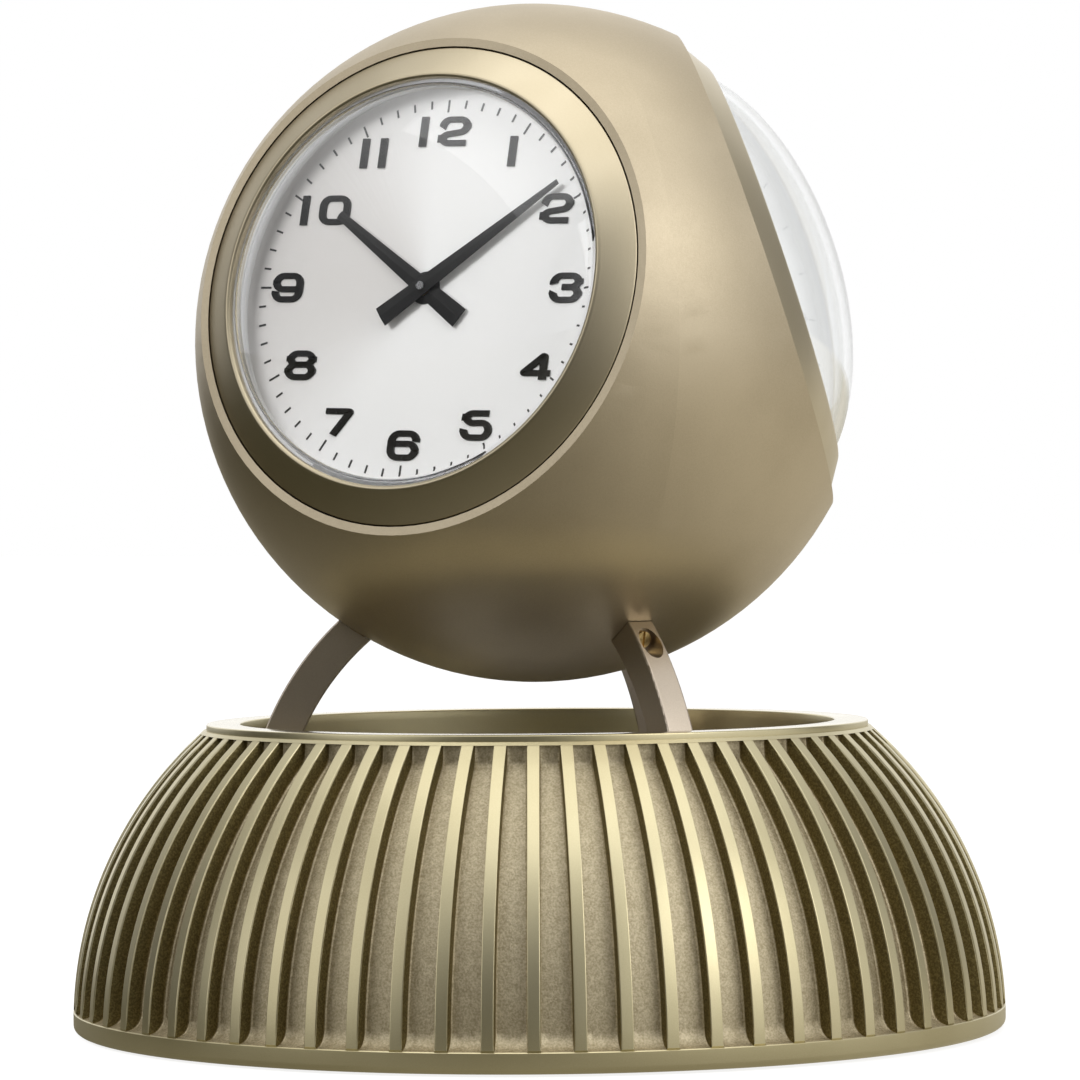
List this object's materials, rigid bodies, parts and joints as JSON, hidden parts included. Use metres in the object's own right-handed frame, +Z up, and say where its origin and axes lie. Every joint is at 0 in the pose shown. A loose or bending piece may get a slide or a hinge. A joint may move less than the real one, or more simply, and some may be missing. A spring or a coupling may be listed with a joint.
{
  "type": "desk clock",
  "caption": "Free-standing ball clock on three curved legs over a ribbed bowl base; three flat-cut faces with domed crystals carry a clock, a calendar and a thermometer.",
  "frame": {"origin": "centre of the underside, on the resting plane", "axes": "+Z up; the time face looks towards -Y, the calendar face 120 degrees round from it towards +X, the thermometer 240 degrees round"},
  "size_m": [0.1978, 0.1978, 0.2173],
  "materials": {
    "ball_satin": "sand-blasted, champagne anodised",
    "battery_wrap": "printed sleeve, plain",
    "bezel_satin": "spun satin, champagne anodised",
    "case_black": "moulded",
    "cast_gold": "cast, gold anodised, rib tops turned bright",
    "dial_silver": "silvered, sunray brushed",
    "felt_green": "felt",
    "glass_clear": "polished mineral glass",
    "hand_black": "gloss black lacquer",
    "plate_brass": "brushed",
    "ring_white": "white lacquer",
    "rubber_black": "soft matt",
    "rubber_pale": "pale grey, soft matt",
    "screw_brass": "turned, slotted",
    "steel": "turned"
  },
  "bodies": {
    "clock": {"base_shell": "cast_gold", "base_plate": "steel", "foot_felt": "felt_green", "base_deck": "steel", "deck_screws": "screw_brass", "leg_left": "ball_satin", "leg_right": "ball_satin", "leg_rear": "ball_satin", "leg_foot_screws": "screw_brass", "leg_ball_screws": "screw_brass", "ball_shell": "ball_satin", "bezel_seals": "rubber_black", "time_bezel": "bezel_satin", "time_crystal": "glass_clear", "time_gasket": "rubber_pale", "time_flange_ring": "ring_white", "time_dial": "dial_silver", "time_back_plate": "plate_brass", "time_retaining_ring": "plate_brass", "calendar_bezel": "bezel_satin", "calendar_crystal": "glass_clear", "calendar_gasket": "rubber_pale", "calendar_flange_ring": "ring_white", "calendar_dial": "dial_silver", "calendar_back_plate": "plate_brass", "calendar_retaining_ring": "plate_brass", "thermometer_bezel": "bezel_satin", "thermometer_crystal": "glass_clear", "thermometer_gasket": "rubber_pale", "thermometer_flange_ring": "ring_white", "thermometer_dial": "dial_silver", "thermometer_back_plate": "plate_brass", "thermometer_retaining_ring": "plate_brass", "movement_case": "case_black", "movement_cover": "case_black", "battery": "battery_wrap", "battery_contacts": "steel", "calendar_bridge": "plate_brass", "calendar_movement": "case_black", "coil_bridge": "plate_brass", "bimetal_coil": "screw_brass"},
    "minute_train": {"minute_hand": "hand_black", "cannon_pinion": "plate_brass", "hand_screw": "steel"},
    "hour_train": {"hour_hand": "hand_black", "hour_wheel": "plate_brass"},
    "setting_train": {"minute_wheel": "plate_brass", "setting_knob": "case_black"},
    "date_train": {"date_hand": "hand_black", "date_wheel": "plate_brass"},
    "weekday_train": {"weekday_hand": "hand_black", "weekday_wheel": "plate_brass"},
    "day_drive": {"day_drive_wheel": "plate_brass"},
    "month_train": {"month_hand": "hand_black", "month_wheel": "plate_brass"},
    "temperature_train": {"temperature_pointer": "hand_black", "temperature_arbor": "plate_brass"}
  },
  "joints": [
    {"name": "minute_hand_turn", "type": "hinge", "parent": "clock", "child": "minute_train", "pos_m": [0, -0.04582, 0.15575], "axis": [0, 0.975, -0.2224], "continuous": true},
    {"name": "hour_hand_turn", "type": "hinge", "parent": "clock", "child": "hour_train", "pos_m": [0, -0.04582, 0.15575], "axis": [0, 0.975, -0.2224], "continuous": true},
    {"name": "setting_knob_turn", "type": "hinge", "parent": "clock", "child": "setting_train", "pos_m": [0, -0.04315, 0.16745], "axis": [0, 0.975, -0.2224], "continuous": true},
    {"name": "date_hand_turn", "type": "hinge", "parent": "clock", "child": "date_train", "pos_m": [0.0387, 0.02234, 0.15986], "axis": [-0.8234, -0.4754, -0.3098], "continuous": true},
    {"name": "weekday_hand_turn", "type": "hinge", "parent": "clock", "child": "weekday_train", "pos_m": [0.0497, 0.00329, 0.15986], "axis": [-0.8234, -0.4754, -0.3098], "continuous": true},
    {"name": "day_drive_turn", "type": "hinge", "parent": "clock", "child": "day_drive", "pos_m": [0.04603, 0.00474, 0.16739], "axis": [-0.8234, -0.4754, -0.3098], "continuous": true},
    {"name": "month_hand_turn", "type": "hinge", "parent": "clock", "child": "month_train", "pos_m": [0.0277, 0.0414, 0.15986], "axis": [-0.8234, -0.4754, -0.3098], "continuous": true},
    {"name": "temperature_pointer_turn", "type": "hinge", "parent": "clock", "child": "temperature_train", "pos_m": [-0.03922, 0.02265, 0.15786], "axis": [0.8345, -0.4818, -0.2672], "range_deg": [-120, 120]}
  ],
  "couplings": [
    {"joint": "hour_hand_turn", "follows": "minute_hand_turn", "ratio": 0.083333},
    {"joint": "setting_knob_turn", "follows": "minute_hand_turn", "ratio": -0.33333},
    {"joint": "weekday_hand_turn", "follows": "date_hand_turn", "ratio": 4.4286},
    {"joint": "day_drive_turn", "follows": "date_hand_turn", "ratio": -3.1}
  ]
}
